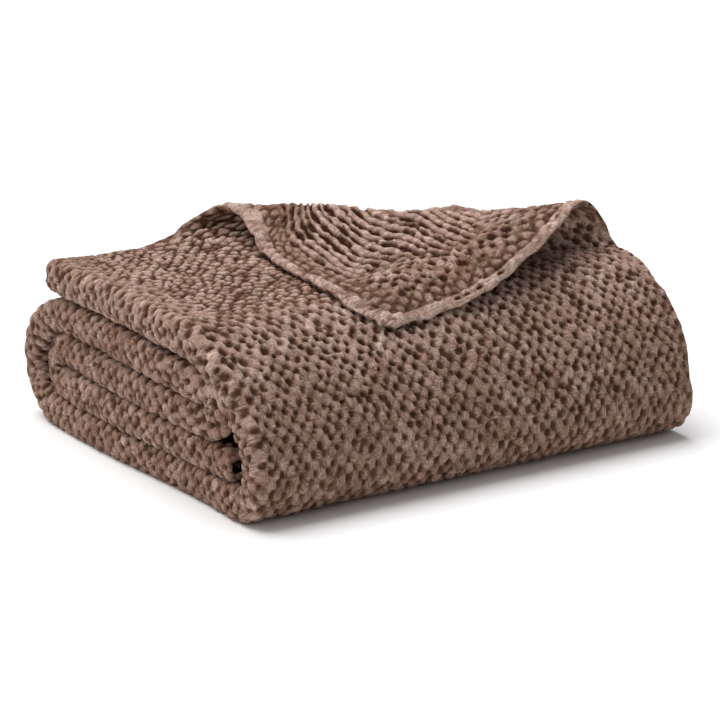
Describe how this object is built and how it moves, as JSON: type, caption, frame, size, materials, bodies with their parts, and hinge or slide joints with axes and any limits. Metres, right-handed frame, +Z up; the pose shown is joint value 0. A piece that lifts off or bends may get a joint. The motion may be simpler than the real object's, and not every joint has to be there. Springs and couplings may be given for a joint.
{
  "type": "folded waffle weave cotton blanket",
  "caption": "Folded cotton blanket in a raised waffle weave, stacked in even passes with one corner of its top layer turned back.",
  "frame": {"origin": "centre of the stack's bounding box, on the surface that it lies on", "axes": "+X along the strip's width, from its closed near end to its hems; +Y from the round front fold to the back; +Z up"},
  "size_m": [0.4652, 0.3954, 0.1933],
  "materials": {
    "waffle_cotton": "matte"
  },
  "bodies": {
    "root": {"blanket": "waffle_cotton"}
  },
  "joints": []
}
